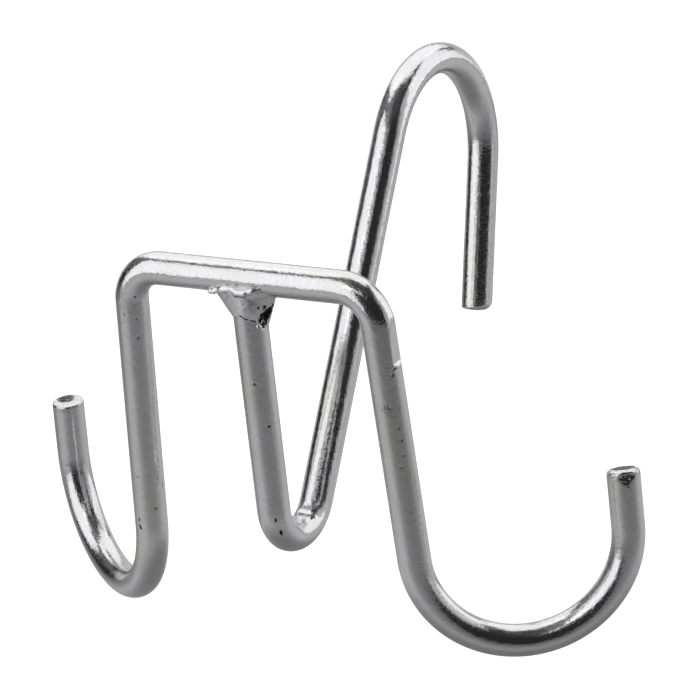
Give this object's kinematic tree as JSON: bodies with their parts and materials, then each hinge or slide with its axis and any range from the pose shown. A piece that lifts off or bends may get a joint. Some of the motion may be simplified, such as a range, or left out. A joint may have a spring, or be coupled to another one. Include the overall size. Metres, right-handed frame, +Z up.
{
  "type": "double rail hook",
  "caption": "Welded steel rod hanger: an S-shaped rail hook that carries a level crossbar with a blunt J-shaped hook at each side.",
  "frame": {"origin": "middle of the arch, where the axis of the rail that it hangs on lies", "axes": "+X along the crossbar and the rail, +Y to the back, +Z up, along the legs"},
  "size_m": [0.1638, 0.1302, 0.1216],
  "materials": {
    "plated_rod": "bright zinc plating, smooth and slightly satin",
    "weld_metal": "plated over a rough weld"
  },
  "bodies": {
    "root": {"double_hook_rod": "plated_rod", "hanger_rod": "plated_rod", "weld_bead": "weld_metal"}
  },
  "joints": []
}
